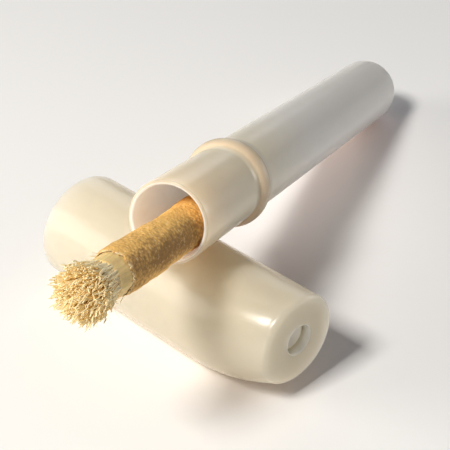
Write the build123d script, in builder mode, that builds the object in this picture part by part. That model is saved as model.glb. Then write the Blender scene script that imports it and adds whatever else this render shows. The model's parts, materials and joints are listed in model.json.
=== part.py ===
"""Chewing-stick toothbrush with its travel case.

A peeled twig with a frayed brush end stands part way out of a round moulded case. The case
cap is off and lies on its side under the neck, so the case leans on it. The rear dome of the
case and the side of the cap rest on the ground.

Units are millimetres. +Z is up, +Y runs along the case from its mouth to its rear dome, and the
origin is the centre of the base of everything's bounding box.
"""
import os
from math import asin, cos, radians, sin, sqrt

from build123d import *

# Case tube
tube_radius = 8.2
bore_radius = 7.3
tube_length = 128.0
mouth_round = 0.35

# Bead round the neck, which grips the inside of the cap
bead_radius = 9.4
bead_centre = 27.5
bead_half_width = 2.2

# Cap: a round socket whose closed end draws in to a smaller, off-centre face
cap_radius = 11.6
cap_length = 62.0
socket_radius = 9.6
cap_wall = cap_radius - socket_radius
taper_length = 18.5
face_radius = 9.25
face_sideways = 1.7
face_rise = 1.6
face_edge_round = 1.2
end_wall = 2.2
vent_radius = 3.1
cap_mouth_round = 0.6
taper_steps = 4

# How the loose cap lies under the case
cap_turn = 20.9
crossing_on_tube = 11.5
crossing_on_cap = 35.2
rest_gap = 0.25

# Place of the case mouth that centres the whole set on the origin
mouth_x = 4.113
mouth_y = -43.543

# Twig, measured from the case mouth
twig_radius = 4.5
bark_thickness = 0.5
wood_radius = twig_radius - bark_thickness
twig_sideways = 2.15
twig_drop = 1.35
twig_inside = 112.0
bark_outside = 24.0
wood_outside = 27.8
bend_start = 12.0
bend_radius = 900.0
bend_angle = 1.25

# Brush end: bundles of wood fibre that fan out from the front of the twig
brush_length = 10.7
brush_edge_length = 7.0
brush_spread = 1.5
bundle_root_radius = 0.5
bundle_tip_radius = 0.42
outer_ring_radius = 3.45

os.makedirs("parts", exist_ok=True)


def leaning_tilt():
    """Return the tilt of the case, in radians, with its dome on the ground and its neck on the cap."""
    arm = tube_length - tube_radius - crossing_on_tube
    crossing_cos = cos(radians(cap_turn))
    axes_apart = tube_radius + cap_radius + rest_gap
    sin_tilt = 0.2
    for _ in range(30):
        cos_tilt = sqrt(1 - sin_tilt**2)
        skew = sqrt(sin_tilt**2 + (crossing_cos * cos_tilt) ** 2) / (crossing_cos * cos_tilt)
        sin_tilt = (cap_radius - tube_radius + axes_apart * skew) / arm
    return asin(sin_tilt)


tilt = leaning_tilt()
rearward = Vector(0, cos(tilt), -sin(tilt))
upward = Vector(0, sin(tilt), cos(tilt))
mouth_z = tube_radius + (tube_length - tube_radius) * sin(tilt)
mouth = Vector(mouth_x, mouth_y, mouth_z)
case_axis = Axis(mouth, rearward)
# In this plane X is sideways, Y runs from the mouth to the rear and Z is square to the case.
case_plane = Plane(origin=mouth, x_dir=(1, 0, 0), z_dir=upward)

cap_heading = Vector(cos(radians(cap_turn)), -sin(radians(cap_turn)), 0)
cap_sideways = Vector(sin(radians(cap_turn)), cos(radians(cap_turn)), 0)
crossing = mouth + rearward * crossing_on_tube
cap_mouth = Vector(crossing.X, crossing.Y, cap_radius) - cap_heading * crossing_on_cap
# In this plane X is sideways, Y is up and Z runs from the open end to the closed end.
cap_plane = Plane(origin=cap_mouth, x_dir=cap_sideways, z_dir=cap_heading)


# Case tube: one revolved wall with a rounded mouth, the neck bead and a domed rear end
dome_centre = tube_length - tube_radius
with BuildPart() as case_tube:
    with BuildSketch(case_plane):
        with BuildLine():
            Line((bore_radius, 0), (tube_radius, 0))
            Line((tube_radius, 0), (tube_radius, bead_centre - bead_half_width))
            ThreePointArc(
                (tube_radius, bead_centre - bead_half_width),
                (bead_radius, bead_centre),
                (tube_radius, bead_centre + bead_half_width),
            )
            Line((tube_radius, bead_centre + bead_half_width), (tube_radius, dome_centre))
            CenterArc((0, dome_centre), tube_radius, 0, 90)
            Line((0, tube_length), (0, dome_centre + bore_radius))
            CenterArc((0, dome_centre), bore_radius, 0, 90)
            Line((bore_radius, dome_centre), (bore_radius, 0))
        make_face()
    revolve(axis=case_axis)
    mouth_edges = case_tube.faces().sort_by(case_axis)[0].edges()
    fillet(mouth_edges, radius=mouth_round)
case_tube.part.label = "case_tube"
export_step(case_tube.part, "parts/case_tube.step")


def drawn_in(along):
    """Return how far, from 0 to 1, the cap's closed end has drawn in at a distance along it."""
    return (along / taper_length) ** 2


def taper_centre(along):
    """Return the centre of the cap's round section at a distance along its closed end."""
    return face_sideways * drawn_in(along), face_rise * drawn_in(along)


def taper_radius(along):
    """Return the outer radius of the cap at a distance along its closed end."""
    return cap_radius - (cap_radius - face_radius) * drawn_in(along)


# Cap: straight socket, tapered end, rounded edges and a vent hole through the end wall
straight_length = cap_length - taper_length
cap_axis = Axis(cap_mouth, cap_heading)
with BuildPart() as case_cap:
    with BuildSketch(cap_plane):
        Circle(cap_radius)
    extrude(amount=straight_length)
    for step in range(taper_steps + 1):
        along = taper_length * step / taper_steps
        with BuildSketch(cap_plane.offset(straight_length + along)):
            with Locations(taper_centre(along)):
                Circle(taper_radius(along))
    loft()
    face_edges = case_cap.faces().sort_by(cap_axis)[-1].edges()
    fillet(face_edges, radius=face_edge_round)

    with BuildSketch(cap_plane):
        Circle(socket_radius)
    extrude(amount=straight_length, mode=Mode.SUBTRACT)
    for step in range(taper_steps + 1):
        along = (taper_length - end_wall) * step / taper_steps
        with BuildSketch(cap_plane.offset(straight_length + along)):
            with Locations(taper_centre(along)):
                Circle(taper_radius(along) - cap_wall)
    loft(mode=Mode.SUBTRACT)
    with BuildSketch(cap_plane.offset(cap_length)):
        with Locations(taper_centre(taper_length)):
            Circle(vent_radius)
    extrude(amount=-2 * end_wall, mode=Mode.SUBTRACT)
    rim_edges = case_cap.faces().sort_by(cap_axis)[0].edges()
    fillet(rim_edges, radius=cap_mouth_round)
case_cap.part.label = "case_cap"
export_step(case_cap.part, "parts/case_cap.step")


# Twig: the wood runs its whole length, and the bark stops short of the peeled front
twig_plane = case_plane.offset(-twig_drop)


def twig_path(outside):
    """Draw the twig's centre line from its rear end to a given distance outside the mouth."""
    straight_run = outside + bend_start - bend_radius * sin(radians(bend_angle))
    rear = Line((twig_sideways, twig_inside), (twig_sideways, bend_start))
    bend = JernArc(start=rear @ 1, tangent=rear % 1, radius=bend_radius, arc_size=-bend_angle)
    Line(bend @ 1, bend @ 1 + (bend % 1) * straight_run)


with BuildPart() as twig_wood:
    with BuildLine(twig_plane) as wood_line:
        twig_path(wood_outside)
    with BuildSketch(Plane(origin=wood_line.line @ 0, z_dir=wood_line.line % 0)):
        Circle(wood_radius)
    sweep()
twig_wood.part.label = "twig_wood"
export_step(twig_wood.part, "parts/twig_wood.step")

with BuildPart() as twig_bark:
    with BuildLine(twig_plane) as bark_line:
        twig_path(bark_outside)
    with BuildSketch(Plane(origin=bark_line.line @ 0, z_dir=bark_line.line % 0)):
        Circle(twig_radius)
        Circle(wood_radius, mode=Mode.SUBTRACT)
    sweep()
twig_bark.part.label = "twig_bark"
export_step(twig_bark.part, "parts/twig_bark.step")


# Brush end: rings of fibre bundles that lean out and get shorter towards the outside
twig_front = Plane(origin=wood_line.line @ 1, x_dir=(1, 0, 0), z_dir=wood_line.line % 1)


def bundle_reach(ring_radius):
    """Return how far forward a bundle reaches, so that the tips form a low dome."""
    return brush_length - (brush_length - brush_edge_length) * (ring_radius / outer_ring_radius) ** 2


brush_rings = {
    "bristles_inner": [(0, 1), (outer_ring_radius / 3, 6)],
    "bristles_middle": [(outer_ring_radius * 2 / 3, 12)],
    "bristles_outer": [(outer_ring_radius, 18)],
}
for node_name, rings in brush_rings.items():
    with BuildPart() as bristles:
        for ring_radius, count in rings:
            for place in range(count):
                across = Vector(1, 0).rotate(Axis.Z, 360 * place / count)
                with BuildSketch(twig_front):
                    with Locations(across * ring_radius):
                        Circle(bundle_root_radius)
                with BuildSketch(twig_front.offset(bundle_reach(ring_radius))):
                    with Locations(across * ring_radius * brush_spread):
                        Circle(bundle_tip_radius)
                loft()
    bristles.part.label = node_name
    export_step(bristles.part, f"parts/{node_name}.step")
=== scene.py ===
"""Looks of a chewing-stick toothbrush that stands out of its travel case, with the cap beneath."""
import json
import math

import bmesh
import bpy
from mathutils import Euler, Matrix, Vector, noise


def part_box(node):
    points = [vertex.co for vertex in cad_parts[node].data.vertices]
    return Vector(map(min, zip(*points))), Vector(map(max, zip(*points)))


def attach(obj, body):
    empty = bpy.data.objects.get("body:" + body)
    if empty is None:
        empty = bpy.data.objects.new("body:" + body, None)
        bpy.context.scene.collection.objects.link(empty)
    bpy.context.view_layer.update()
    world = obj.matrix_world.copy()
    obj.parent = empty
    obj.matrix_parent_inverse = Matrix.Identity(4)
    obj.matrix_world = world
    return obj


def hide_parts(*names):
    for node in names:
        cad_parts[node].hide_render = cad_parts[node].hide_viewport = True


bl_info = {
    "name": "Chewing Stick and Travel Case",
    "version": (1, 0, 0),
    "blender": (4, 5, 0),
    "location": "3D View > Sidebar > Chewing Stick",
    "description": "Builds a frayed twig toothbrush, its milky case and cap, and a plain stage",
    "category": "Add Mesh",
}

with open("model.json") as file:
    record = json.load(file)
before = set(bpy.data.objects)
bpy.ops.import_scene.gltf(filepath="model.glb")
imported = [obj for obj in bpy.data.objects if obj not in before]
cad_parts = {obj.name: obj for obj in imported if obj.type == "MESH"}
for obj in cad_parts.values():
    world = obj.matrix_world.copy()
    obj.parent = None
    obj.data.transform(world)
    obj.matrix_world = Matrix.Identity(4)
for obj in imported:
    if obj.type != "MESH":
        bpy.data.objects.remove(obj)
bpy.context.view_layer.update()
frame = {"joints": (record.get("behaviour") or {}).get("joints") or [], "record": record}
JOINTS = {joint["name"]: joint for joint in frame["joints"]}
MOUNTS = {mount["name"]: mount for mount in frame["record"]["mounts"]}
MM = 0.001
# Points round each piece
CASE_SEGMENTS = 160
BARK_SEGMENTS = 220
WOOD_SEGMENTS = 120
# How deep the roots of the fibres sit in the end of the wood
ROOT_DEPTH = 0.3 * MM
# Half of the floor's width in metres
FLOOR_REACH = 4.0
CAMERA_PLACE = (92.34 * MM, -213.11 * MM, 157.96 * MM)
CAMERA_TURN = (math.radians(90) - 0.575, 0, 0.424)
# Name, place in metres, width in metres, share of the main light's power, colour
LIGHTS = (
    ("key_light", (-0.22, -0.55, 0.70), 0.20, 1.0, (1.0, 0.96, 0.90)),
    ("side_light", (-0.75, -0.42, 0.30), 0.50, 0.45, (1.0, 0.94, 0.85)),
    ("low_light", (0.62, 0.55, 0.10), 0.40, 0.25, (1.0, 0.97, 0.97)),
    ("fill_light", (-0.30, 0.80, 0.45), 0.50, 0.12, (0.88, 0.93, 1.0)),
)
SKY_COLOUR = (0.84, 0.91, 1.0, 1)


# ---------------- settings


def size_setting(name, description, millimetres):
    """Return a length setting whose default is given in millimetres."""
    return bpy.props.FloatProperty(
        name=name, description=description, default=millimetres * MM, unit="LENGTH"
    )


def colour_setting(name, description, red, green, blue):
    """Return an opaque colour setting."""
    return bpy.props.FloatVectorProperty(
        name=name, description=description, default=(red, green, blue, 1), subtype="COLOR", size=4
    )


def count_setting(name, description, count):
    """Return a setting that counts things."""
    return bpy.props.IntProperty(name=name, description=description, default=count, min=1)


class CaseSettings(bpy.types.PropertyGroup):
    """Sizes and finish of the tube and the cap."""

    tube_radius: size_setting("Tube Radius", "Outer radius of the case tube", 8.2)
    bore_radius: size_setting("Bore Radius", "Inner radius of the case tube", 7.3)
    tube_length: size_setting("Tube Length", "From the mouth to the tip of the dome", 128)
    mouth_round: size_setting("Mouth Round", "Rounding of the tube's rim", 0.35)
    bead_radius: size_setting("Bead Radius", "Outer radius of the bead round the neck", 9.4)
    bead_centre: size_setting("Bead Centre", "From the mouth to the middle of the bead", 27.5)
    bead_half_width: size_setting("Bead Half Width", "Half of the bead's width along the tube", 2.2)
    cap_radius: size_setting("Cap Radius", "Outer radius of the cap", 11.6)
    cap_length: size_setting("Cap Length", "From the cap's open end to its face", 62)
    cap_wall: size_setting("Cap Wall", "Thickness of the cap's side wall", 2)
    end_wall: size_setting("End Wall", "Thickness of the cap's closed end", 2.2)
    taper_length: size_setting("Taper Length", "Length over which the closed end draws in", 18.5)
    face_radius: size_setting("Face Radius", "Radius of the cap's end face", 9.25)
    face_sideways: size_setting("Face Sideways", "How far the end face sits to one side", 1.7)
    face_rise: size_setting("Face Rise", "How far the end face sits above the cap's axis", 1.6)
    face_round: size_setting("Face Round", "Rounding of the end face's edge", 1.2)
    cap_mouth_round: size_setting("Cap Mouth Round", "Rounding of the cap's rim", 0.6)
    vent_radius: size_setting("Vent Radius", "Radius of the vent hole", 3.1)
    vent_round: size_setting("Vent Round", "Rounding of the vent hole's edge", 0.25)
    # The cap and the tube are one plastic: the cap's darker colours are painted shade and the tube's paler
    # ones painted light
    cap_plastic: colour_setting("Cap Plastic", "Colour of the cap's milky plastic", 0.79, 0.65, 0.47)
    cap_cloud: colour_setting(
        "Cap Clouding", "Colour of the cap's plastic where it is cloudy", 0.76, 0.61, 0.44
    )
    tube_plastic: colour_setting("Tube Plastic", "Colour of the tube's milky plastic", 1.0, 0.75, 0.54)
    tube_cloud: colour_setting(
        "Tube Clouding", "Colour of the tube's plastic where it is cloudy", 0.98, 0.71, 0.49
    )
    cap_depth: size_setting("Cap Depth", "How far light travels in the cap's plastic", 16)
    tube_depth: size_setting("Tube Depth", "How far light travels in the tube's plastic", 3.5)
    # Paler rear of the tube: painted light, standing in for light that comes through the thin rear wall
    plastic_rear_painted_light: colour_setting(
        "Rear Plastic", "Colour of the plastic at the rear of the tube", 1.0, 0.82, 0.73
    )
    # Darker bead and mouth rim: painted shade that tones down where they catch the light
    plastic_edge_shade: colour_setting(
        "Thick Plastic", "Colour of the bead and the mouth's rim", 0.60, 0.50, 0.36
    )
    # Paler plastic inside the tube's mouth and the cap's vent: painted light
    plastic_bore_painted_light: colour_setting("Bore Plastic", "Colour of the plastic inside the bores", 1.0, 0.96, 0.80)


class TwigSettings(bpy.types.PropertyGroup):
    """Sizes and colours of the bark and the wood."""

    bark_radius: size_setting("Bark Radius", "Mean outer radius of the bark", 4.5)
    wood_radius: size_setting("Wood Radius", "Radius of the wood under the bark", 3.95)
    sideways: size_setting("Sideways", "How far the twig lies to one side in the bore", 2.15)
    drop: size_setting("Drop", "How far the twig lies below the bore's axis", 1.35)
    inside: size_setting("Inside", "Length of the twig inside the case", 112)
    bark_outside: size_setting("Bark Outside", "Length of bark that shows outside the mouth", 24)
    wood_outside: size_setting("Wood Outside", "Length of wood outside the mouth", 27.8)
    bend_start: size_setting("Bend Start", "Where the twig's slight bend starts, inside the mouth", 12)
    bend_radius: size_setting("Bend Radius", "Radius of the twig's slight bend", 900)
    bend_angle: bpy.props.FloatProperty(
        name="Bend Angle", description="Angle of the twig's slight bend",
        default=math.radians(1.25), subtype="ANGLE",
    )
    lumps: size_setting("Lumps", "Height of the bark's lumps", 0.24)
    grain: size_setting("Grain", "Height of the bark's grain", 0.055)
    tatter: size_setting("Tatter", "Depth of the bark's ragged front edge", 0.9)
    bark: colour_setting("Bark", "Colour of clean bark", 0.93, 0.56, 0.17)
    # Used for weathered bark, and as painted shade on the side of the twig turned from the light
    bark_dark: colour_setting("Dark Bark", "Colour of weathered bark", 0.30, 0.16, 0.06)
    bark_pale: colour_setting(
        "Pale Bark", "Colour of the bark's pale specks and torn edge", 0.95, 0.76, 0.45
    )
    wood: colour_setting("Wood", "Colour of the peeled wood", 0.99, 0.73, 0.31)
    wood_dark: colour_setting("Dark Wood", "Colour of the wood's darker streaks", 0.47, 0.32, 0.15)


class BrushSettings(bpy.types.PropertyGroup):
    """Numbers, sizes and colours of the brush fibres."""

    fibre_count: count_setting("Fibres", "Number of fibres in the brush", 740)
    hair_count: count_setting("Fine Hairs", "Number of fine hairs round the brush", 50)
    whisker_count: count_setting("Whiskers", "Number of whiskers at the torn edge of the bark", 11)
    length: size_setting("Length", "Length of the fibres in the middle", 10.0)
    edge_length: size_setting("Edge Length", "Length of the fibres at the edge", 7.6)
    thickness: size_setting("Thickness", "Radius of a fibre", 0.18)
    hair_thickness: size_setting("Hair Thickness", "Radius of a fine hair", 0.045)
    spread: size_setting("Spread", "How far the outer fibres fan out", 1.9)
    curl: size_setting("Curl", "How far the fibres wander", 1.4)
    waves: bpy.props.FloatProperty(
        name="Waves", description="How often the fibres wander, in turns per metre", default=390.0
    )
    pale: colour_setting("Pale Fibre", "Colour of clean fibre", 1.0, 0.885, 0.57)
    dark: colour_setting("Dark Fibre", "Colour of fibre near its root", 0.98, 0.745, 0.43)


class StageSettings(bpy.types.PropertyGroup):
    """Floor, lights and camera."""

    floor: colour_setting("Floor", "Colour of the floor", 0.90, 0.90, 0.90)
    key_power: bpy.props.FloatProperty(
        name="Key Power", description="Power of the warm main light", default=7.5, unit="POWER"
    )
    ambient: bpy.props.FloatProperty(
        name="Ambient", description="Strength of the soft light from all round", default=0.11
    )
    lens: bpy.props.FloatProperty(
        name="Lens", description="Focal length of the camera in millimetres", default=98.16
    )


# ---------------- places


def case_place(case):
    """Return the matrix of the case: X sideways, Y from the mouth to the rear, Z square to it."""
    outward = Vector(JOINTS["stick_slide"]["axis"])
    rearward = -outward
    upward = Vector((1, 0, 0)).cross(rearward)
    low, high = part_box("case_tube")
    across = case.tube_radius - case.mouth_round
    mouth = Vector(
        (
            (low.x + high.x) / 2,
            low.y + across * upward.y + case.mouth_round * (1 - rearward.y),
            high.z - across * upward.z - case.mouth_round * (1 + rearward.z),
        )
    )
    return Matrix.Translation(mouth) @ Matrix(((1, 0, 0), rearward, upward)).transposed().to_4x4()


def cap_place(case):
    """Return the matrix of the cap: X sideways, Y up, Z from the open end to the closed end."""
    heading = Vector(MOUNTS["vent_hole"]["axis"])
    upward = Vector((0, 0, 1))
    sideways = upward.cross(heading)
    vent = Vector(MOUNTS["vent_hole"]["pos_m"])
    open_end = vent - heading * (case.cap_length - case.end_wall / 2)
    open_end -= sideways * case.face_sideways + upward * case.face_rise
    return Matrix.Translation(open_end) @ Matrix((sideways, upward, heading)).transposed().to_4x4()


def twig_point(twig, along):
    """Return the twig's centre line in the case's frame at a distance along it, and its direction.

    The distance is zero at the mouth, positive inside the case and negative outside it.
    """
    bend_end = twig.bend_start - twig.bend_radius * math.sin(twig.bend_angle)
    if along >= twig.bend_start:
        shift, lean = 0.0, 0.0
    elif along >= bend_end:
        lean = math.asin((twig.bend_start - along) / twig.bend_radius)
        shift = twig.bend_radius * (1 - math.cos(lean))
    else:
        lean = twig.bend_angle
        shift = twig.bend_radius * (1 - math.cos(lean)) + (bend_end - along) * math.tan(lean)
    centre = Vector((twig.sideways - shift, along, -twig.drop))
    return centre, Vector((-math.sin(lean), -math.cos(lean), 0))


def brush_place(case, twig):
    """Return the matrix of the brush: Z forward from the middle of the twig's front face."""
    centre, forward = twig_point(twig, -twig.wood_outside)
    upward = Vector((0, 0, 1))
    sideways = upward.cross(forward)
    local = Matrix.Translation(centre) @ Matrix((sideways, upward, forward)).transposed().to_4x4()
    return case_place(case) @ local


# ---------------- mesh helpers


def new_piece(name, mesh, material, body, slot, *nodes):
    """Link a finished mesh as a piece that rides on a body and stands for the given CAD nodes."""
    piece = bpy.data.objects.new(name, mesh)
    bpy.context.scene.collection.objects.link(piece)
    mesh.materials.clear()
    mesh.materials.append(material)
    mesh.shade_smooth()
    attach(piece, body)
    if nodes:
        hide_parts(*nodes)
    return piece


def is_pole(ring):
    """Return whether all of a ring's points fall together."""
    return (Vector(ring[0]) - Vector(ring[len(ring) // 2])).length < 1e-9


def ring_mesh(name, rings, place, closed=False):
    """Join rings of points into one closed mesh with outward faces.

    A ring whose points fall together becomes one point. A closed mesh joins its last ring to its first.
    """
    count = len(rings[0])
    points = []
    rows = []
    for ring in rings:
        start = len(points)
        if is_pole(ring):
            points.append(place @ Vector(ring[0]))
            rows.append([start] * count)
        else:
            points += [place @ Vector(point) for point in ring]
            rows.append(list(range(start, start + count)))
    faces = []
    for row, below in enumerate(rows):
        if row == len(rows) - 1 and not closed:
            break
        above = rows[(row + 1) % len(rows)]
        for column in range(count):
            after = (column + 1) % count
            corners = [below[column], below[after], above[after], above[column]]
            faces.append(list(dict.fromkeys(corners)))
    mesh = bpy.data.meshes.new(name)
    mesh.from_pydata(points, [], faces)
    work = bmesh.new()
    work.from_mesh(mesh)
    bmesh.ops.recalc_face_normals(work, faces=work.faces)
    work.to_mesh(mesh)
    work.free()
    return mesh


def paint_rings(mesh, name, rings, levels):
    """Store one number for each ring of a ring mesh, for its material to read."""
    values = []
    for ring, level in zip(rings, levels):
        values += [level] * (1 if is_pole(ring) else len(ring))
    attribute = mesh.attributes.new(name, "FLOAT", "POINT")
    attribute.data.foreach_set("value", values)


def even_angles(count):
    """Return evenly spaced angles round a circle."""
    return [2 * math.pi * step / count for step in range(count)]


def circle_points(radius, count):
    """Return evenly spaced points on a circle."""
    return [(radius * math.cos(angle), radius * math.sin(angle)) for angle in even_angles(count)]


def arc_points(centre, radius, start, end, steps):
    """Return points on an arc, with its angles in degrees."""
    points = []
    for step in range(steps + 1):
        angle = math.radians(start + (end - start) * step / steps)
        points.append((centre[0] + radius * math.cos(angle), centre[1] + radius * math.sin(angle)))
    return points


def spread_points(start, end, steps):
    """Return evenly spaced points on a straight line, without its two ends."""
    points = []
    for step in range(1, steps):
        share = step / steps
        points.append(tuple(a + (b - a) * share for a, b in zip(start, end)))
    return points


# ---------------- shader groups


def node_group(name, values, outputs):
    """Start a shader node group and return it with the sockets it is given and those it fills.

    Its inputs are a vector and the named numbers with their defaults. Its outputs are numbers.
    """
    group = bpy.data.node_groups.new(name, "ShaderNodeTree")
    group.interface.new_socket(name="Vector", in_out="INPUT", socket_type="NodeSocketVector")
    for key, value in values.items():
        socket = group.interface.new_socket(name=key, in_out="INPUT", socket_type="NodeSocketFloat")
        socket.default_value = value
    for key in outputs:
        group.interface.new_socket(name=key, in_out="OUTPUT", socket_type="NodeSocketFloat")
    given = group.nodes.new("NodeGroupInput").outputs
    return group, given, group.nodes.new("NodeGroupOutput").inputs


def noise_node(tree, scale, detail, rough, vector):
    """Add a noise texture and return its value. The scale is a socket or a number."""
    node = tree.nodes.new("ShaderNodeTexNoise")
    set_input(tree, scale, node.inputs["Scale"])
    node.inputs["Detail"].default_value = detail
    node.inputs["Roughness"].default_value = rough
    tree.links.new(vector, node.inputs["Vector"])
    return node.outputs["Fac"]


def ramp_node(tree, source, stops):
    """Add a ramp from a value to grey levels, given as (place, level) pairs, and return its colour."""
    node = tree.nodes.new("ShaderNodeValToRGB")
    elements = node.color_ramp.elements
    elements[0].position = stops[0][0]
    elements[1].position = stops[-1][0]
    for place, level in stops[1:-1]:
        elements.new(place)
    for element, (place, level) in zip(elements, stops):
        element.color = (level, level, level, 1)
    tree.links.new(source, node.inputs["Fac"])
    return node.outputs["Color"]


def set_input(tree, source, target):
    """Link a socket to a node's input, or store a plain value in it."""
    if isinstance(source, bpy.types.NodeSocket):
        tree.links.new(source, target)
    else:
        target.default_value = source


def mix_node(tree, factor, first, second):
    """Add a colour mix. Each of the three inputs is a socket or a plain value."""
    node = tree.nodes.new("ShaderNodeMix")
    node.data_type = "RGBA"
    for index, source in ((0, factor), (6, first), (7, second)):
        set_input(tree, source, node.inputs[index])
    return node.outputs[2]


def math_node(tree, operation, *sources):
    """Add a math node. Each input is a socket or a number."""
    node = tree.nodes.new("ShaderNodeMath")
    node.operation = operation
    for source, target in zip(sources, node.inputs):
        set_input(tree, source, target)
    return node.outputs[0]


def tint_by(tree, colour, tint, mask, share):
    """Mix a tint into a colour by a mask times a share. The share is a number or another mask."""
    return mix_node(tree, math_node(tree, "MULTIPLY", mask, share), colour, tint)


def painted_value(tree, name):
    """Read a number stored on the mesh."""
    node = tree.nodes.new("ShaderNodeAttribute")
    node.attribute_name = name
    return node.outputs["Fac"]


def known_group(name):
    """Return the node group of this name if it is there already."""
    return bpy.data.node_groups.get(name)


def mottle_group():
    """Soft blotches at two sizes, used for cloudy plastic, weathered bark and uneven wood."""
    if known_group("Mottle"):
        return known_group("Mottle")
    group, given, made = node_group("Mottle", {"Size": 100.0, "Sharpness": 0.5}, ["Mask"])
    finer = math_node(group, "MULTIPLY", given["Size"], 4.3)
    broad = noise_node(group, given["Size"], 3.0, 0.55, given["Vector"])
    fine = noise_node(group, finer, 4.0, 0.55, given["Vector"])
    both = math_node(group, "ADD", math_node(group, "MULTIPLY", broad, 0.65),
                     math_node(group, "MULTIPLY", fine, 0.35))
    centred = math_node(group, "SUBTRACT", both, 0.5)
    gain = math_node(group, "MULTIPLY_ADD", given["Sharpness"], 8.0, 1.0)
    mask = math_node(group, "MULTIPLY_ADD", centred, gain, 0.5)
    mask.node.use_clamp = True
    group.links.new(mask, made["Mask"])
    return group


def grit_group():
    """Granules and pits as a height, and pale specks as a mask, used for bark."""
    if known_group("Grit"):
        return known_group("Grit")
    group, given, made = node_group("Grit", {"Size": 900.0}, ["Height", "Specks"])
    cells = group.nodes.new("ShaderNodeTexVoronoi")
    cells.feature = "F1"
    group.links.new(given["Vector"], cells.inputs["Vector"])
    group.links.new(given["Size"], cells.inputs["Scale"])
    coarser = math_node(group, "MULTIPLY", given["Size"], 0.6)
    rough = noise_node(group, coarser, 5.0, 0.65, given["Vector"])
    dome = math_node(group, "SUBTRACT", 1.0, cells.outputs["Distance"])
    height = math_node(group, "ADD", math_node(group, "MULTIPLY", dome, 0.45),
                       math_node(group, "MULTIPLY", rough, 0.75))
    group.links.new(height, made["Height"])
    spots = noise_node(group, given["Size"], 2.0, 0.6, given["Vector"])
    group.links.new(ramp_node(group, spots, [(0.60, 0.0), (0.68, 1.0)]), made["Specks"])
    return group


def strand_group():
    """Long fine streaks along Y as a mask, used for peeled wood, bark and the fibres."""
    if known_group("Strands"):
        return known_group("Strands")
    group, given, made = node_group("Strands", {"Size": 1500.0, "Stretch": 0.06}, ["Mask"])
    squeeze = group.nodes.new("ShaderNodeCombineXYZ")
    squeeze.inputs["X"].default_value = 1.0
    squeeze.inputs["Z"].default_value = 1.0
    group.links.new(given["Stretch"], squeeze.inputs["Y"])
    stretched = group.nodes.new("ShaderNodeVectorMath")
    stretched.operation = "MULTIPLY"
    group.links.new(given["Vector"], stretched.inputs[0])
    group.links.new(squeeze.outputs["Vector"], stretched.inputs[1])
    streaks = noise_node(group, given["Size"], 4.0, 0.6, stretched.outputs["Vector"])
    group.links.new(ramp_node(group, streaks, [(0.36, 0.0), (0.64, 1.0)]), made["Mask"])
    return group


def group_node(tree, group, vector, **values):
    """Place a shader node group with its vector and its own values and return its outputs."""
    node = tree.nodes.new("ShaderNodeGroup")
    node.node_tree = group
    tree.links.new(vector, node.inputs["Vector"])
    for key, value in values.items():
        node.inputs[key].default_value = value
    return node.outputs


def new_material(name, **values):
    """Start a material with plain values on its Principled shader, and return it with both.

    A value's name is the name of the shader's socket, with _ for each space.
    """
    material = bpy.data.materials.new(name)
    material.use_nodes = True
    shader = material.node_tree.nodes["Principled BSDF"]
    for key, value in values.items():
        shader.inputs[key.replace("_", " ")].default_value = value
    return material, material.node_tree, shader


def finish_material(tree, shader, colour, normal):
    """Link a material's colour and normal to its shader."""
    tree.links.new(colour, shader.inputs["Base Color"])
    tree.links.new(normal, shader.inputs["Normal"])


def object_vector(tree, tilt=0.0):
    """Object coordinates, turned about X so that Y runs along the leaning case."""
    coordinates = tree.nodes.new("ShaderNodeTexCoord")
    mapping = tree.nodes.new("ShaderNodeMapping")
    mapping.inputs["Rotation"].default_value = (tilt, 0, 0)
    tree.links.new(coordinates.outputs["Object"], mapping.inputs["Vector"])
    return mapping.outputs["Vector"]


def bump_node(tree, height, distance, strength=1.0, normal=None):
    """Add a bump from a height."""
    node = tree.nodes.new("ShaderNodeBump")
    node.inputs["Distance"].default_value = distance
    node.inputs["Strength"].default_value = strength
    tree.links.new(height, node.inputs["Height"])
    if normal is not None:
        tree.links.new(normal, node.inputs["Normal"])
    return node.outputs["Normal"]


def case_tilt():
    """Return the angle that turns the case level about X."""
    outward = Vector(JOINTS["stick_slide"]["axis"])
    return math.atan2(outward.z, -outward.y)


# ---------------- materials


def milky_plastic(name, case, colour, shade, depth):
    """Milky cream plastic with a soft gloss and faint clouding, plus painted light and shade read from the
    mesh: a paler rear, a darker bead and rim, and paler bores. Light travels about as far as depth.
    """
    material, tree, shader = new_material(
        name, Roughness=0.23, IOR=1.5, Specular_IOR_Level=0.4, Subsurface_Weight=1.0,
        Subsurface_Radius=(1.0, 1.0, 1.0), Subsurface_Scale=depth,
    )
    vector = object_vector(tree)
    clouds = group_node(tree, mottle_group(), vector, Size=60.0, Sharpness=0.15)
    tint = mix_node(tree, clouds["Mask"], colour, shade)
    # Painted light and shade stored on the mesh: paler rear and bores, darker bead and rim
    painted_light_and_shade_places = (("rear", case.plastic_rear_painted_light), ("edge_shade", case.plastic_edge_shade), ("bore", case.plastic_bore_painted_light))
    for place, finish in painted_light_and_shade_places:
        tint = mix_node(tree, painted_value(tree, place), tint, finish)
    ripple = noise_node(tree, 110.0, 2.0, 0.55, vector)
    finish_material(tree, shader, tint, bump_node(tree, ripple, 0.25 * MM, 0.35))
    return material


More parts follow.
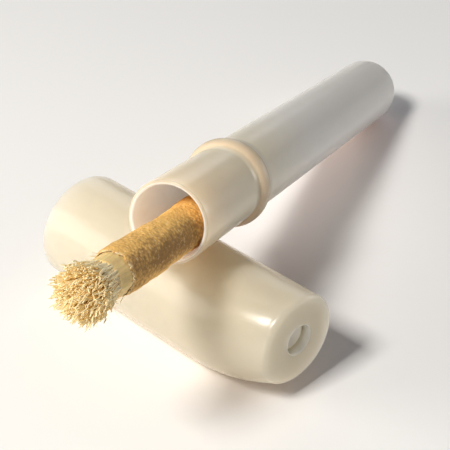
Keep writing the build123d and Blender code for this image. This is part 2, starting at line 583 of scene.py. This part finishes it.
def bark_material(twig):
    """Dry golden-brown bark, granular, with dark weathering, painted shade on the side of the twig turned
    from the light, and pale specks.
    """
    material, tree, shader = new_material("golden_bark", Roughness=0.78, Specular_IOR_Level=0.15)
    vector = object_vector(tree, case_tilt())
    weather = group_node(tree, mottle_group(), vector, Size=170.0, Sharpness=0.35)
    grit = group_node(tree, grit_group(), vector, Size=1500.0)
    streaks = group_node(tree, strand_group(), vector, Size=700.0, Stretch=0.25)
    stipple = math_node(tree, "MULTIPLY_ADD", grit["Height"], -1.2, 0.60)
    crust_and_shade = math_node(tree, "ADD", painted_value(tree, "weathered_and_shaded"), stipple)
    crust_and_shade = ramp_node(tree, crust_and_shade, [(0.35, 0.0), (0.85, 1.0)])
    frayed = group_node(tree, mottle_group(), vector, Size=700.0, Sharpness=0.8)
    colour = tint_by(tree, twig.bark, twig.bark_dark, weather["Mask"], 0.30)
    colour = tint_by(tree, colour, twig.bark_dark, streaks["Mask"], 0.10)
    # Darker side of the twig: partly weathered bark, partly painted shade
    colour = tint_by(tree, colour, twig.bark_dark, crust_and_shade, 0.84)
    colour = tint_by(tree, colour, twig.bark_pale, grit["Specks"], 0.40)
    colour = tint_by(tree, colour, twig.bark_pale, painted_value(tree, "torn"), frayed["Mask"])
    lumps = bump_node(tree, weather["Mask"], 0.12 * MM, 0.5)
    finish_material(tree, shader, colour, bump_node(tree, grit["Height"], 0.3 * MM, 1.0, lumps))
    return material


def wood_material(twig):
    """Peeled pale wood with long streaks, and rings where it is cut across."""
    material, tree, shader = new_material(
        "cream_wood", Roughness=0.55, Specular_IOR_Level=0.2,
        Subsurface_Weight=0.15, Subsurface_Scale=0.6 * MM,
    )
    vector = object_vector(tree, case_tilt())
    streaks = group_node(tree, strand_group(), vector, Size=2200.0, Stretch=0.05)
    blotches = group_node(tree, mottle_group(), vector, Size=260.0, Sharpness=0.3)
    rings = math_node(tree, "FRACT", math_node(tree, "MULTIPLY", painted_value(tree, "depth"), 5.0))
    colour = tint_by(tree, twig.wood, twig.wood_dark, streaks["Mask"], 0.18)
    colour = tint_by(tree, colour, twig.wood_dark, blotches["Mask"], 0.30)
    colour = tint_by(tree, colour, twig.wood_dark, rings, 0.35)
    finish_material(tree, shader, colour, bump_node(tree, streaks["Mask"], 0.12 * MM, 0.7))
    return material


def fibre_material(name, brush, root_share):
    """Loose pale wood fibre, darker at its root."""
    material, tree, shader = new_material(name, Roughness=0.6, Specular_IOR_Level=0.25)
    stops = [(0.0, root_share), (0.3, root_share * 0.35), (0.6, 0.0)]
    root = ramp_node(tree, painted_value(tree, "fibre_along"), stops)
    colour = mix_node(tree, root, brush.pale, brush.dark)
    colour = tint_by(tree, colour, brush.dark, painted_value(tree, "fibre_tone"), 0.22)
    streaks = group_node(tree, strand_group(), object_vector(tree, case_tilt()), Size=5200.0, Stretch=0.12)
    finish_material(tree, shader, colour, bump_node(tree, streaks["Mask"], 0.04 * MM, 0.5))
    return material


def floor_material(stage):
    """Plain matt floor."""
    return new_material("plain_floor", Base_Color=stage.floor, Roughness=0.9)[0]


# ---------------- pieces


class CHEWSTICK_OT_case_tube(bpy.types.Operator):
    """Make the case tube: rounded mouth, neck bead and domed rear end, with a bore inside"""

    bl_idname = "chewstick.case_tube"
    bl_label = "Case Tube"

    def execute(self, context):
        case = context.scene.chewstick_case
        tube, bore, rim = case.tube_radius, case.bore_radius, case.mouth_round
        dome_centre = case.tube_length - tube
        sag = case.bead_radius - tube
        bead_arc = (case.bead_half_width**2 + sag**2) / (2 * sag)
        half_angle = math.degrees(math.asin(case.bead_half_width / bead_arc))
        bead_start = case.bead_centre - case.bead_half_width
        bead_end = case.bead_centre + case.bead_half_width
        bead_middle = (case.bead_radius - bead_arc, case.bead_centre)
        # Each point is its radius and its place along the case, from the dome to the mouth and back inside.
        profile = arc_points((0, dome_centre), tube, 90, 0, 20)
        profile += spread_points((tube, dome_centre), (tube, bead_end), 30)
        profile += arc_points(bead_middle, bead_arc, half_angle, -half_angle, 14)
        profile += spread_points((tube, bead_start), (tube, rim), 12)
        profile += arc_points((tube - rim, rim), rim, 0, -90, 5)
        profile += arc_points((bore + rim, rim), rim, -90, -180, 5)
        profile += spread_points((bore, rim), (bore, dome_centre), 40)
        profile += arc_points((0, dome_centre), bore, 0, 90, 20)
        rings = [
            [(across, along, upward) for across, upward in circle_points(radius, CASE_SEGMENTS)]
            for radius, along in profile
        ]
        mesh = ring_mesh("case_tube_wall", rings, case_place(case))
        # Inside of the bore painted paler: painted light
        paint_rings(mesh, "bore", rings, [
            float(radius <= bore + rim and index > len(profile) / 2)
            for index, (radius, along) in enumerate(profile)
        ])
        # The tube turns paler towards the dome: painted light
        share = [(along - case.bead_centre) / (1.2 * case.bead_centre) for radius, along in profile]
        paint_rings(mesh, "rear", rings, [min(1.0, max(0.0, part)) for part in share])
        # Bead crest and mouth rim darkened: painted shade
        paint_rings(mesh, "edge_shade", rings, [
            1.0 if radius > bore and along < rim else max(0.0, (radius - tube) / sag)
            for radius, along in profile
        ])
        plastic = milky_plastic("tube_plastic", case, case.tube_plastic, case.tube_cloud, case.tube_depth)
        new_piece("case_tube_wall", mesh, plastic, "tube", "case_plastic", "case_tube")
        return {"FINISHED"}


class CHEWSTICK_OT_case_cap(bpy.types.Operator):
    """Make the cap: a round socket that draws in off centre to a face with a vent hole"""

    bl_idname = "chewstick.case_cap"
    bl_label = "Case Cap"

    def execute(self, context):
        case = context.scene.chewstick_case
        straight = case.cap_length - case.taper_length
        rim = case.cap_mouth_round
        socket = case.cap_radius - case.cap_wall
        fillet = case.face_round
        vent = case.vent_round
        inner_end = case.cap_length - case.end_wall

        def drawn_in(along):
            """Return how far the cap has drawn in at a place along it, from 0 to 1."""
            return (max(along - straight, 0) / case.taper_length) ** 2

        def outer(along):
            """Return the outer radius of the cap at a place along it."""
            return case.cap_radius - (case.cap_radius - case.face_radius) * drawn_in(along)

        # Each section is its place along the cap, its radius and how far it has moved off centre.
        sections = []

        def add_run(points, moved):
            """Add a run of points, given as radius and place, that have moved off centre alike."""
            sections.extend((along, radius, moved) for radius, along in points)

        add_run(arc_points((socket + rim, rim), rim, 180, 270, 6), 0)
        add_run(arc_points((case.cap_radius - rim, rim), rim, 270, 360, 6), 0)
        add_run(spread_points((case.cap_radius, rim), (case.cap_radius, straight), 24), 0)
        taper_steps = 26
        taper_end = case.cap_length - fillet
        for step in range(taper_steps + 1):
            along = straight + (taper_end - straight) * step / taper_steps
            sections.append((along, outer(along), drawn_in(along)))
        edge = outer(taper_end)
        for radius, along in arc_points((edge - fillet, taper_end), fillet, 0, 90, 8)[1:]:
            sections.append((along, radius, drawn_in(along)))
        hole_edge = case.vent_radius + vent
        add_run(spread_points((edge - fillet, case.cap_length), (hole_edge, case.cap_length), 8), 1)
        add_run(arc_points((hole_edge, case.cap_length - vent), vent, 90, 180, 5), 1)
        sections.append((inner_end, case.vent_radius, 1))
        inner_edge = outer(inner_end) - case.cap_wall
        add_run(
            spread_points((case.vent_radius, inner_end), (inner_edge, inner_end), 6), drawn_in(inner_end)
        )
        for step in range(taper_steps + 1):
            along = inner_end - (inner_end - straight) * step / taper_steps
            sections.append((along, outer(along) - case.cap_wall, drawn_in(along)))
        add_run(spread_points((socket, straight), (socket, rim), 24), 0)
        rings = []
        for along, radius, moved in sections:
            side, rise = case.face_sideways * moved, case.face_rise * moved
            rings.append([(side + x, rise + y, along) for x, y in circle_points(radius, CASE_SEGMENTS)])
        mesh = ring_mesh("case_cap_wall", rings, cap_place(case), closed=True)
        # Everything after the last section on the end face lies inside the cap.
        outside = max(index for index, section in enumerate(sections) if section[0] == case.cap_length)
        # The inside of the cap and its vent hole are painted paler: painted light
        paint_rings(mesh, "bore", rings, [float(index > outside) for index in range(len(sections))])
        plastic = milky_plastic("cap_plastic", case, case.cap_plastic, case.cap_cloud, case.cap_depth)
        new_piece("case_cap_wall", mesh, plastic, "cap", "case_plastic", "case_cap")
        return {"FINISHED"}


def twig_ring(twig, along, radii, shifts=None):
    """Return one ring of points round the twig. Each point may lie further along by its own shift."""
    ring = []
    upward = Vector((0, 0, 1))
    for step, (angle, radius) in enumerate(zip(even_angles(len(radii)), radii)):
        centre, forward = twig_point(twig, along - (shifts[step] if shifts else 0.0))
        across = forward.cross(upward)
        ring.append(centre + across * radius * math.cos(angle) + upward * radius * math.sin(angle))
    return ring


def bark_height(twig, along, angle):
    """Return the height of the bark's lumps, ridges and grain at a place on the twig, mostly below zero."""
    spot = Vector((math.cos(angle) * 4.5, along / MM, math.sin(angle) * 4.5))
    broad = noise.noise(spot * 0.15)
    lumps = noise.noise(Vector((spot.x * 0.45, spot.y * 0.22, spot.z * 0.45)) + Vector((7, 3, 1)))
    knobs = noise.noise(spot * 0.9 + Vector((2, 8, 5)))
    grain = noise.noise(spot * 2.1) + 0.6 * noise.noise(spot * 3.7 + Vector((1, 4, 9)))
    height = twig.lumps * (broad + 0.8 * lumps + 0.35 * knobs) + twig.grain * grain
    return min(height - 0.3 * twig.lumps, twig.lumps)


def torn_edge(twig, angle):
    """Return how far the bark's front edge reaches past its mean place at an angle."""

    def ripple(size, shift):
        """Return noise round the edge. A larger size makes finer noise."""
        return noise.noise(Vector((math.cos(angle) * size, math.sin(angle) * size, shift)))

    return twig.tatter * (0.9 * ripple(0.9, 5.0) + 0.9 * ripple(3.1, 2.0) + 0.4 * ripple(13.0, 9.0))


def paint_weathering_and_shade(mesh, rings, angles):
    """Store how dark each point of the bark is: mostly the side of the twig turned from the light, partly
    weathered bark and partly painted shade, with a wavy border.
    """
    values = []
    # The side turned from the light: partly weathered bark, partly painted shade
    shaded_side = math.radians(165)
    for row in range(len(rings)):
        for angle in angles:
            spot = Vector((math.cos(angle), row * 0.02, math.sin(angle)))
            facing = math.cos(angle - shaded_side)
            values.append(0.55 + 1.3 * (facing - 0.70) + 0.35 * noise.noise(spot * 1.3))
    attribute = mesh.attributes.new("weathered_and_shaded", "FLOAT", "POINT")
    attribute.data.foreach_set("value", [min(1.0, max(0.0, value)) for value in values])


class CHEWSTICK_OT_bark(bpy.types.Operator):
    """Make the lumpy bark sleeve with its thin, ragged front edge"""

    bl_idname = "chewstick.bark"
    bl_label = "Bark"

    def execute(self, context):
        case = context.scene.chewstick_case
        twig = context.scene.chewstick_twig
        angles = even_angles(BARK_SEGMENTS)
        reach = [torn_edge(twig, angle) for angle in angles]
        skin = [twig.wood_radius + 0.04 * MM] * BARK_SEGMENTS
        front = -twig.bark_outside
        edge_zone = 2.2 * MM
        finer_from = 14 * MM
        rings = []
        torn = []
        coarse = [twig.inside - (twig.inside - finer_from) * step / 100 for step in range(100)]
        fine = [finer_from + (front - finer_from) * step / 200 for step in range(201)]
        for along in coarse + fine:
            near = max(0.0, 1 - (along - front) / edge_zone)
            shifts = [part * near**1.5 for part in reach]
            thinned = 0.20 * MM * near**3
            radii = [twig.bark_radius + bark_height(twig, along, angle) - thinned for angle in angles]
            rings.append(twig_ring(twig, along, radii, shifts))
            torn.append(max(0.0, near * 3.2 - 2.3))
        lip = [radius - 0.12 * MM for radius in radii]
        rings.append(twig_ring(twig, front - 0.07 * MM, lip, reach))
        rings.append(twig_ring(twig, front, [radius + 0.1 * MM for radius in skin], reach))
        torn += [1.0, 1.0]
        for step in range(1, 13):
            along = front + (twig.inside - front) * step / 12
            rings.append(twig_ring(twig, along, skin))
            torn.append(0.6)
        mesh = ring_mesh("bark_sleeve", rings, case_place(case), closed=True)
        paint_rings(mesh, "torn", rings, torn)
        paint_weathering_and_shade(mesh, rings, angles)
        bark = bark_material(twig)
        new_piece("bark_sleeve", mesh, bark, "stick", "bark", "twig_bark")
        return {"FINISHED"}


class CHEWSTICK_OT_wood(bpy.types.Operator):
    """Make the wood of the twig, peeled at the front and cut square at the rear"""

    bl_idname = "chewstick.wood"
    bl_label = "Wood"

    def execute(self, context):
        case = context.scene.chewstick_case
        twig = context.scene.chewstick_twig
        angles = even_angles(WOOD_SEGMENTS)
        front = -twig.wood_outside
        peeled_from = -twig.bark_outside + 1 * MM
        rings = []
        depth = []
        for share in (0.0, 0.2, 0.4, 0.6, 0.8, 0.97):
            rings.append(twig_ring(twig, twig.inside, [twig.wood_radius * share] * WOOD_SEGMENTS))
            depth.append(share)
        peel_run = 1.2 * MM
        hidden = [twig.inside + (peeled_from - twig.inside) * step / 30 for step in range(31)]
        shown = [peeled_from + (front - peeled_from) * step / 30 for step in range(1, 31)]
        for along in hidden + shown:
            peeled = min(1.0, max(0.0, (peeled_from - along) / peel_run))
            radii = []
            for angle in angles:
                spot = Vector((math.cos(angle) * 3.2, along / MM * 0.25, math.sin(angle) * 3.2))
                facets = noise.noise(spot) * 0.22 * MM + noise.noise(spot * 4) * 0.05 * MM
                radii.append(twig.wood_radius * (1 - 0.012 * peeled) + facets * peeled)
            rings.append(twig_ring(twig, along, radii))
            depth.append(0.0)
        tip = front - 0.25 * MM
        for share in (0.92, 0.6, 0.3, 0.0):
            rings.append(twig_ring(twig, tip, [twig.wood_radius * share] * WOOD_SEGMENTS))
            depth.append(0.0)
        mesh = ring_mesh("wood_rod", rings, case_place(case))
        paint_rings(mesh, "depth", rings, depth)
        wood = wood_material(twig)
        new_piece("wood_rod", mesh, wood, "stick", "peeled_wood", "twig_wood")
        return {"FINISHED"}


# ---------------- fibres


def fibre_tree(name):
    """Build the node tree that grows curved, tapered fibres from a disc or from a band round the twig.

    Z is forward along the twig. Fibres start on the input mesh, lean out and wander as they grow.
    """
    tree = bpy.data.node_groups.new(name, "GeometryNodeTree")
    defaults = {
        "Density": 1e6, "Spacing": 0.0, "Steps": 12, "Thickness": 0.1 * MM, "Length": 10 * MM,
        "Edge Length": 8 * MM, "Disc Radius": 4 * MM, "Spread": 3 * MM, "Curl": 1 * MM,
        "Waves": 260.0, "Hook": 0.0, "Seed": 1,
    }
    tree.interface.new_socket(name="Geometry", in_out="INPUT", socket_type="NodeSocketGeometry")
    for key, value in defaults.items():
        kind = "NodeSocketInt" if isinstance(value, int) else "NodeSocketFloat"
        socket = tree.interface.new_socket(name=key, in_out="INPUT", socket_type=kind)
        socket.default_value = value
    tree.interface.new_socket(name="Material", in_out="INPUT", socket_type="NodeSocketMaterial")
    tree.interface.new_socket(name="Geometry", in_out="OUTPUT", socket_type="NodeSocketGeometry")
    given = tree.nodes.new("NodeGroupInput").outputs
    made = tree.nodes.new("NodeGroupOutput").inputs
    length_seed, lean_seed, wander_seed, tone_seed, width_seed = 11, 23, 37, 53, 71

    def add(kind, sources=None, **settings):
        """Add a node with its settings, and link or store the source of each named input."""
        node = tree.nodes.new(kind)
        for key, value in settings.items():
            setattr(node, key, value)
        for key, source in (sources or {}).items():
            set_input(tree, source, node.inputs[key])
        return node

    def number(operation, *sources):
        """Add a math node to the tree."""
        return math_node(tree, operation, *sources)

    def vector(operation, *sources):
        """Add a vector math node. A length comes out as a number."""
        node = add("ShaderNodeVectorMath", dict(enumerate(sources)), operation=operation)
        return node.outputs["Value" if operation == "LENGTH" else "Vector"]

    def scaled(source, scale):
        """Multiply a vector by a number."""
        node = add("ShaderNodeVectorMath", {0: source, "Scale": scale}, operation="SCALE")
        return node.outputs["Vector"]

    def random_number(low, high, seed_shift):
        """Add a random number that is the same all along a fibre."""
        seed = number("ADD", given["Seed"], seed_shift)
        node = add("FunctionNodeRandomValue", {"ID": fibre_id, "Seed": seed}, data_type="FLOAT")
        floats = [socket for socket in node.inputs if socket.type == "VALUE" and socket.enabled]
        set_input(tree, low, floats[0])
        set_input(tree, high, floats[1])
        return next(socket for socket in node.outputs if socket.enabled)

    def store(geometry, name, value):
        """Store a number under a name on each point."""
        sources = {"Geometry": geometry, "Name": name, "Value": value}
        node = add("GeometryNodeStoreNamedAttribute", sources, data_type="FLOAT", domain="POINT")
        return node.outputs["Geometry"]

    # Roots
    scatter = add("GeometryNodeDistributePointsOnFaces", {
        "Mesh": given["Geometry"], "Distance Min": given["Spacing"],
        "Density Max": given["Density"], "Seed": given["Seed"],
    }, distribute_method="POISSON")

    # Each root becomes a spline of its own, with all of its points still at the root.
    keep_id = add("GeometryNodeCaptureAttribute", {"Geometry": scatter.outputs["Points"]}, domain="POINT")
    keep_id.capture_items.new("INT", "Fibre")
    set_input(tree, add("GeometryNodeInputIndex").outputs["Index"], keep_id.inputs["Fibre"])
    fibre_id = keep_id.outputs["Fibre"]
    copies = add("GeometryNodeDuplicateElements", {
        "Geometry": keep_id.outputs["Geometry"], "Amount": given["Steps"],
    }, domain="POINT")
    strings = add("GeometryNodePointsToCurves", {
        "Points": copies.outputs["Geometry"], "Curve Group ID": fibre_id,
        "Weight": copies.outputs["Duplicate Index"],
    })

    # How far along its fibre a point is, from 0 to 1
    spline = add("GeometryNodeSplineParameter")
    along = number("DIVIDE", spline.outputs["Index"], number("SUBTRACT", given["Steps"], 1.0))
    root = add("GeometryNodeInputPosition").outputs["Position"]
    split = add("ShaderNodeSeparateXYZ", {"Vector": root}).outputs
    flat = add("ShaderNodeCombineXYZ", {"X": split["X"], "Y": split["Y"]}).outputs["Vector"]
    out = vector("NORMALIZE", flat)
    rim = number("DIVIDE", vector("LENGTH", flat), given["Disc Radius"])
    rim2 = number("POWER", rim, 2.0)

    # Length, lean, hook and wander
    gap = number("SUBTRACT", given["Edge Length"], given["Length"])
    reach = number("MULTIPLY_ADD", gap, rim2, given["Length"])
    reach = number("MULTIPLY", reach, random_number(0.80, 1.06, length_seed))
    bent = number("MULTIPLY", number("POWER", along, 2.0), number("MULTIPLY", rim2, given["Hook"]))
    forward = number("MULTIPLY", reach, number("MULTIPLY", along, number("SUBTRACT", 1.0, bent)))
    lean = number("MULTIPLY", given["Spread"], number("MULTIPLY", rim, number("POWER", along, 1.7)))
    lean = number("MULTIPLY", lean, random_number(0.65, 1.2, lean_seed))
    rise = add("ShaderNodeCombineXYZ", {"Z": forward}).outputs["Vector"]
    grown = vector("ADD", rise, scaled(out, lean))
    wander = add("ShaderNodeTexNoise", {
        "Vector": scaled(rise, given["Waves"]), "W": random_number(0.0, 400.0, wander_seed),
        "Scale": 1.0, "Detail": 1.5,
    }, noise_dimensions="4D")
    sway = vector("SUBTRACT", wander.outputs["Color"], (0.5, 0.5, 0.5))
    amount = number("MULTIPLY", given["Curl"], number("MULTIPLY", number("POWER", along, 1.1), 2.0))
    shift = vector("ADD", grown, scaled(sway, amount))

    # Values for the material to read, stored before the points move
    curves = store(strings.outputs["Curves"], "fibre_along", along)
    curves = store(curves, "fibre_tone", random_number(0.0, 1.0, tone_seed))
    move = add("GeometryNodeSetPosition", {"Geometry": curves, "Offset": shift})

    # Thickness that tapers to the tip
    taper = number("SUBTRACT", 1.0, number("MULTIPLY", number("POWER", along, 4.0), 0.45))
    width = number("MULTIPLY", given["Thickness"], random_number(0.6, 1.25, width_seed))
    section = add("GeometryNodeCurvePrimitiveCircle", {"Resolution": 5, "Radius": 1.0})
    skin = add("GeometryNodeCurveToMesh", {
        "Curve": move.outputs["Geometry"], "Profile Curve": section.outputs["Curve"],
        "Scale": number("MULTIPLY", width, taper), "Fill Caps": True,
    })
    solid = add("GeometryNodeRealizeInstances", {"Geometry": skin.outputs["Mesh"]})
    finish = add("GeometryNodeSetMaterial", {
        "Geometry": solid.outputs["Geometry"], "Material": given["Material"],
    })
    set_input(tree, finish.outputs["Geometry"], made["Geometry"])
    return tree


def grow_fibres(name, base, tree, place, values):
    """Run the fibre tree on a base mesh and return the result as a plain mesh, moved to its place."""
    holder = bpy.data.objects.new(name + "_base", base)
    bpy.context.scene.collection.objects.link(holder)
    modifier = holder.modifiers.new("Fibres", "NODES")
    modifier.node_group = tree
    for item in tree.interface.items_tree:
        if item.in_out == "INPUT" and item.name in values:
            modifier[item.identifier] = values[item.name]
    graph = bpy.context.evaluated_depsgraph_get()
    mesh = bpy.data.meshes.new_from_object(holder.evaluated_get(graph), depsgraph=graph)
    holder.modifiers.remove(modifier)
    bpy.data.objects.remove(holder)
    mesh.name = name
    mesh.transform(place)
    mesh.update()
    return mesh


def root_mesh(name, inner, outer, dome=0.0, rings=8, segments=48):
    """Make a flat or slightly domed ring that faces forward, for fibres to start on."""
    points = []
    faces = []
    for row in range(rings + 1):
        reach = inner + (outer - inner) * row / rings
        points += [(x, y, -dome * (reach / outer) ** 2) for x, y in circle_points(reach, segments)]
    for row in range(rings):
        low = row * segments
        for step in range(segments):
            after = (step + 1) % segments
            faces.append((low + step, low + segments + step, low + segments + after, low + after))
    mesh = bpy.data.meshes.new(name)
    mesh.from_pydata(points, [], faces)
    return mesh


def root_values(count, inner, outer):
    """Return the density and spacing that give about this many roots on a ring."""
    area = math.pi * (outer**2 - inner**2)
    return {"Density": 1.7 * count / area, "Spacing": 0.72 * math.sqrt(area / count), "Disc Radius": outer}


class CHEWSTICK_OT_brush(bpy.types.Operator):
    """Grow the brush of thick curled fibres"""

    bl_idname = "chewstick.brush"
    bl_label = "Brush"

    def execute(self, context):
        case = context.scene.chewstick_case
        twig = context.scene.chewstick_twig
        brush = context.scene.chewstick_brush
        place = brush_place(case, twig) @ Matrix.Translation((0, 0, -ROOT_DEPTH))
        disc = twig.wood_radius - brush.thickness
        centre = 0.02 * MM
        fibre = fibre_material("brush_fibre", brush, 0.15)
        values = {
            "Steps": 12, "Thickness": brush.thickness, "Length": brush.length,
            "Edge Length": brush.edge_length, "Spread": brush.spread, "Curl": brush.curl,
            "Waves": brush.waves, "Hook": 0.05, "Seed": 5, "Material": fibre,
        }
        values.update(root_values(brush.fibre_count, centre, disc))
        roots = root_mesh("brush_roots", centre, disc, 0.1 * MM)
        mesh = grow_fibres("brush_fibres", roots, fibre_tree("Brush Fibres"), place, values)
        new_piece("brush_fibres", mesh, fibre, "stick", "bristle_fibre",
                  "bristles_inner", "bristles_middle", "bristles_outer")
        return {"FINISHED"}


class CHEWSTICK_OT_strays(bpy.types.Operator):
    """Grow the fine hairs round the brush and the whiskers at the torn edge of the bark"""

    bl_idname = "chewstick.strays"
    bl_label = "Stray Hairs"

    def execute(self, context):
        case = context.scene.chewstick_case
        twig = context.scene.chewstick_twig
        brush = context.scene.chewstick_brush
        tree = fibre_tree("Stray Hairs")
        hair = fibre_material("stray_hair", brush, 1.0)
        outer = twig.wood_radius - 0.05 * MM
        inner = outer * 0.72
        values = {
            "Steps": 11, "Thickness": brush.hair_thickness, "Length": brush.edge_length * 0.9,
            "Edge Length": brush.edge_length * 0.85, "Spread": brush.spread * 1.3, "Curl": brush.curl * 0.7,
            "Waves": 240.0, "Hook": 0.2, "Seed": 17, "Material": hair,
        }
        values.update(root_values(brush.hair_count, inner, outer))
        place = brush_place(case, twig) @ Matrix.Translation((0, 0, -ROOT_DEPTH))
        roots = root_mesh("hair_roots", inner, outer, rings=2)
        mesh = grow_fibres("brush_hairs", roots, tree, place, values)
        new_piece("brush_hairs", mesh, hair, "stick", "bristle_fibre")

        outer = twig.bark_radius - 0.15 * MM
        inner = twig.wood_radius + 0.05 * MM
        values.update({
            "Thickness": 0.055 * MM, "Length": 1.6 * MM, "Edge Length": 1.9 * MM, "Spread": 0.9 * MM,
            "Curl": 0.6 * MM, "Waves": 500.0, "Hook": 0.1, "Seed": 3,
        })
        values.update(root_values(brush.whisker_count, inner, outer))
        back = (twig.wood_outside - twig.bark_outside) + ROOT_DEPTH
        place = brush_place(case, twig) @ Matrix.Translation((0, 0, -back))
        roots = root_mesh("whisker_roots", inner, outer, rings=1)
        mesh = grow_fibres("bark_whiskers", roots, tree, place, values)
        new_piece("bark_whiskers", mesh, hair, "stick", "bristle_fibre")
        return {"FINISHED"}


# ---------------- stage


class CHEWSTICK_OT_stage(bpy.types.Operator):
    """Set out the floor, the lights and the camera"""

    bl_idname = "chewstick.stage"
    bl_label = "Stage"

    def execute(self, context):
        stage = context.scene.chewstick_stage
        mesh = bpy.data.meshes.new("floor")
        corners = [(-1, -1), (1, -1), (1, 1), (-1, 1)]
        points = [(x * FLOOR_REACH, y * FLOOR_REACH, 0) for x, y in corners]
        mesh.from_pydata(points, [], [(0, 1, 2, 3)])
        mesh.materials.append(floor_material(stage))
        floor = bpy.data.objects.new("floor", mesh)
        context.scene.collection.objects.link(floor)

        for name, place, size, share, colour in LIGHTS:
            light = area_light(name, place, size, stage.key_power * share, colour)
            context.scene.collection.objects.link(light)

        world = bpy.data.worlds.new("soft_room")
        context.scene.world = world
        world.use_nodes = True
        back = world.node_tree.nodes["Background"]
        back.inputs["Color"].default_value = SKY_COLOUR
        back.inputs["Strength"].default_value = stage.ambient

        view = bpy.data.cameras.new("view")
        view.lens = stage.lens
        view.sensor_width = 36
        view.clip_start = 0.01
        camera = bpy.data.objects.new("view", view)
        camera.location = CAMERA_PLACE
        camera.rotation_euler = Euler(CAMERA_TURN, "XYZ")
        context.scene.collection.objects.link(camera)
        context.scene.camera = camera
        context.scene.view_settings.view_transform = "Standard"
        context.scene.cycles.diffuse_bounces = 12
        context.scene.cycles.max_bounces = 16
        return {"FINISHED"}


def area_light(name, place, size, power, colour):
    """Make a square area light that points at the middle of the object."""
    light = bpy.data.lights.new(name, "AREA")
    light.size = size
    light.energy = power
    light.color = colour
    lamp = bpy.data.objects.new(name, light)
    lamp.location = place
    towards = Vector((0, 0, 0.02)) - Vector(place)
    lamp.rotation_euler = towards.to_track_quat("-Z", "Y").to_euler()
    return lamp


# ---------------- add-on


class CHEWSTICK_PT_panel(bpy.types.Panel):
    """The add-on's panel in the sidebar"""

    bl_idname = "CHEWSTICK_PT_panel"
    bl_label = "Chewing Stick"
    bl_space_type = "VIEW_3D"
    bl_region_type = "UI"
    bl_category = "Chewing Stick"

    def draw(self, context):
        """List the operators and the settings."""
        for operator in OPERATORS:
            self.layout.operator(operator.bl_idname)
        for name in SETTINGS:
            settings = getattr(context.scene, name)
            box = self.layout.box()
            for key in settings.bl_rna.properties.keys():
                if key not in ("rna_type", "name"):
                    box.prop(settings, key)


SETTINGS = {
    "chewstick_case": CaseSettings,
    "chewstick_twig": TwigSettings,
    "chewstick_brush": BrushSettings,
    "chewstick_stage": StageSettings,
}
OPERATORS = (
    CHEWSTICK_OT_stage,
    CHEWSTICK_OT_case_tube,
    CHEWSTICK_OT_case_cap,
    CHEWSTICK_OT_wood,
    CHEWSTICK_OT_bark,
    CHEWSTICK_OT_brush,
    CHEWSTICK_OT_strays,
)


def register():
    """Register the settings, the operators and the panel."""
    for name, settings in SETTINGS.items():
        bpy.utils.register_class(settings)
        setattr(bpy.types.Scene, name, bpy.props.PointerProperty(type=settings))
    for operator in OPERATORS:
        bpy.utils.register_class(operator)
    bpy.utils.register_class(CHEWSTICK_PT_panel)


def unregister():
    """Take away what register added."""
    bpy.utils.unregister_class(CHEWSTICK_PT_panel)
    for operator in reversed(OPERATORS):
        bpy.utils.unregister_class(operator)
    for name, settings in SETTINGS.items():
        delattr(bpy.types.Scene, name)
        bpy.utils.unregister_class(settings)


def main():
    """Build every piece and the stage."""
    register()
    for operator in OPERATORS:
        group, call = operator.bl_idname.split(".")
        getattr(getattr(bpy.ops, group), call)()


if __name__ == "__main__":
    main()
